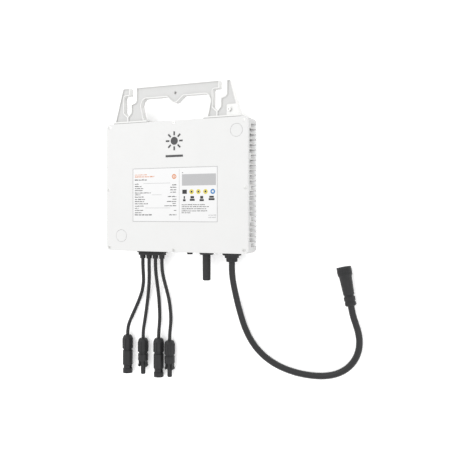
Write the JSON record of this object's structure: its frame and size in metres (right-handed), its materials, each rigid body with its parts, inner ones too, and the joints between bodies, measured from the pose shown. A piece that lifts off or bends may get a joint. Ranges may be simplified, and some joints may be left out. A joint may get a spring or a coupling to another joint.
{
  "type": "micro inverter",
  "caption": "Flat white micro inverter with a finned casting, hanging bracket, stub antenna, DC leads with solar plugs and an AC lead with a connector.",
  "frame": {"origin": "under the middle of the casting, on the plane of the fin tips that the inverter lies on", "axes": "+Z out of the front cover, +X to the right of the front, +Y towards the hanging bracket"},
  "size_m": [0.4369, 0.4951, 0.0384],
  "materials": {
    "casting_white": "white powder coat on cast aluminium",
    "cover_white": "white powder coat, satin",
    "bracket_grey": "light grey coat on a casting",
    "plug_white": "moulded, satin",
    "seal_rubber": "moulded rubber",
    "steel": "stainless fasteners",
    "label_film": "printed polyester film",
    "emblem_ink": "dark print",
    "black_plastic": "moulded nylon",
    "plug_plastic": "moulded, fine texture",
    "antenna_rubber": "soft sleeve",
    "cable_jacket": "smooth jacket",
    "membrane": "breathable membrane",
    "tinned_metal": "tinned copper",
    "board_green": "solder mask",
    "ferrite": "ferrite",
    "copper_wire": "enamelled copper",
    "can_sleeve": "shrunk sleeve",
    "film_yellow": "potted case",
    "relay_case": "moulded case",
    "chip_black": "moulded package",
    "pad_grey": "silicone pad",
    "terminal_green": "moulded block",
    "radio_shield": "shield can"
  },
  "bodies": {
    "inverter": {"ac_gland_body": "black_plastic", "ac_gland_nut": "black_plastic", "ac_gland_seal": "seal_rubber", "ac_lead": "cable_jacket", "ac_terminal": "terminal_green", "antenna_base": "black_plastic", "antenna_element": "tinned_metal", "antenna_stub": "antenna_rubber", "board_screws": "steel", "bracket_screws": "steel", "connector_back_nut": "black_plastic", "connector_contacts": "tinned_metal", "connector_housing": "black_plastic", "connector_insert": "black_plastic", "connector_seal": "seal_rubber", "cover_screws": "steel", "dc_gland_block": "black_plastic", "dc_gland_seal": "seal_rubber", "dc_lead_1": "cable_jacket", "dc_lead_2": "cable_jacket", "dc_lead_3": "cable_jacket", "dc_lead_4": "cable_jacket", "dc_terminals": "terminal_green", "electrolytic_capacitors": "can_sleeve", "emblem_badge": "emblem_ink", "fill_plug_seals": "seal_rubber", "fill_plugs": "plug_white", "film_capacitors": "film_yellow", "front_cover": "cover_white", "grid_relays": "relay_case", "ground_screw": "steel", "ground_washer": "steel", "lid_gasket": "seal_rubber", "main_board": "board_green", "mounting_bracket": "bracket_grey", "narrow_plug_contacts": "tinned_metal", "plug_body_1": "plug_plastic", "plug_body_2": "plug_plastic", "plug_body_3": "plug_plastic", "plug_body_4": "plug_plastic", "plug_nut_1": "plug_plastic", "plug_nut_2": "plug_plastic", "plug_nut_3": "plug_plastic", "plug_nut_4": "plug_plastic", "plug_seals": "seal_rubber", "power_transistors": "chip_black", "radio_module": "radio_shield", "rating_label": "label_film", "rear_housing": "casting_white", "thermal_pad": "pad_grey", "transformer_cores": "ferrite", "transformer_windings": "copper_wire", "vent_membrane": "membrane", "vent_plug": "black_plastic", "wide_plug_contacts": "tinned_metal"},
    "lock_ring": {"connector_lock_ring": "black_plastic"},
    "arm_2_left": {"latch_arm_2_left": "plug_plastic"},
    "arm_2_right": {"latch_arm_2_right": "plug_plastic"},
    "arm_4_left": {"latch_arm_4_left": "plug_plastic"},
    "arm_4_right": {"latch_arm_4_right": "plug_plastic"}
  },
  "joints": [
    {"name": "latch_2_left_flex", "type": "hinge", "parent": "inverter", "child": "arm_2_left", "pos_m": [-0.0813, -0.2994, 0.0096], "axis": [0, 0, 1], "range_deg": [0, 5], "stiffness_Nm_per_rad": 0.2},
    {"name": "latch_2_right_flex", "type": "hinge", "parent": "inverter", "child": "arm_2_right", "pos_m": [-0.0691, -0.2994, 0.0096], "axis": [0, 0, -1], "range_deg": [0, 5], "stiffness_Nm_per_rad": 0.2},
    {"name": "latch_4_left_flex", "type": "hinge", "parent": "inverter", "child": "arm_4_left", "pos_m": [-0.029, -0.2995, 0.0096], "axis": [0, 0, 1], "range_deg": [0, 5], "stiffness_Nm_per_rad": 0.2},
    {"name": "latch_4_right_flex", "type": "hinge", "parent": "inverter", "child": "arm_4_right", "pos_m": [-0.0168, -0.2995, 0.0096], "axis": [0, 0, -1], "range_deg": [0, 5], "stiffness_Nm_per_rad": 0.2},
    {"name": "lock_ring_turn", "type": "hinge", "parent": "inverter", "child": "lock_ring", "pos_m": [0.27858, -0.13306, 0.0116], "axis": [-0.1908, 0.9816, 0], "range_deg": [0, 45]}
  ]
}
